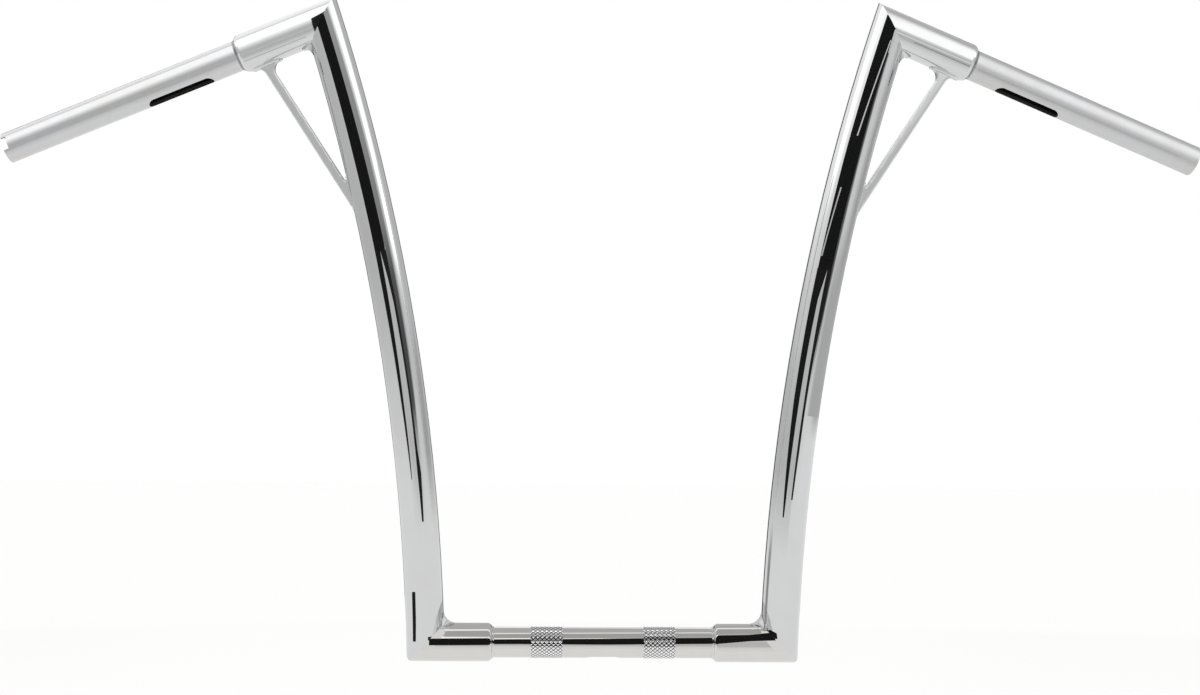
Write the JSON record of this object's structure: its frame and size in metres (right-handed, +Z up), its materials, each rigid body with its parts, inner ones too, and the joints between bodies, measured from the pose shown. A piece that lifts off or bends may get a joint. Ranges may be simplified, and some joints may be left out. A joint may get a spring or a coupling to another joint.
{
  "type": "motorcycle handlebar",
  "caption": "Tall welded tubular handlebar: bowed uprights rise from a short knurled clamp tube to mitred corners, with braced, drooping, swept-back grip tubes.",
  "frame": {"origin": "middle of the centre tube's axis, half way between the two clamp bands", "axes": "+X along the centre tube to the clutch side (the picture's right), +Y back towards the rider, +Z up"},
  "size_m": [1.0064, 0.0609, 0.5475],
  "materials": {
    "polished_chrome": "mirror-polished chrome plate over steel tube",
    "dressed_weld": "dressed weld metal under the same chrome plate"
  },
  "bodies": {
    "root": {"centre_tube": "polished_chrome", "left_lower_socket": "polished_chrome", "right_lower_socket": "polished_chrome", "left_upright": "polished_chrome", "right_upright": "polished_chrome", "left_arm": "polished_chrome", "right_arm": "polished_chrome", "throttle_grip_tube": "polished_chrome", "clutch_grip_tube": "polished_chrome", "left_brace": "polished_chrome", "right_brace": "polished_chrome", "left_lower_corner_weld": "dressed_weld", "right_lower_corner_weld": "dressed_weld", "left_upper_corner_weld": "dressed_weld", "right_upper_corner_weld": "dressed_weld", "left_lower_step_weld": "dressed_weld", "right_lower_step_weld": "dressed_weld", "left_arm_step_weld": "dressed_weld", "right_arm_step_weld": "dressed_weld"}
  },
  "joints": []
}
